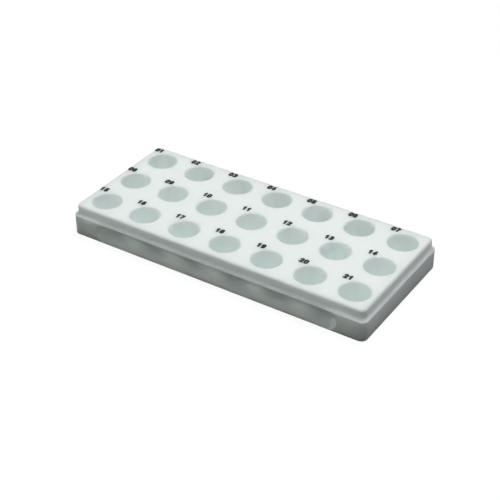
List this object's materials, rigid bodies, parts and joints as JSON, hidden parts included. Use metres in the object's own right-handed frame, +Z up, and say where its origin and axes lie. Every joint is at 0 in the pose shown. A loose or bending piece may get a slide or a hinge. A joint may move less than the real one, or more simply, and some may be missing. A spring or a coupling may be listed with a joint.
{
  "type": "tube rack",
  "caption": "Low one-piece plastic tube rack: a stepped block with a grid of numbered blind round wells and a long finger groove in each long side.",
  "frame": {"origin": "middle of the underside, where the rack stands on the bench", "axes": "+X along the rack towards the highest number in each row, +Y towards the row that holds the lowest numbers, +Z up out of the wells"},
  "size_m": [0.148, 0.0646, 0.0144],
  "materials": {
    "rack_plastic": "satin, slightly translucent white",
    "number_ink": "flat black print"
  },
  "bodies": {
    "root": {"rack_body": "rack_plastic"}
  },
  "joints": []
}
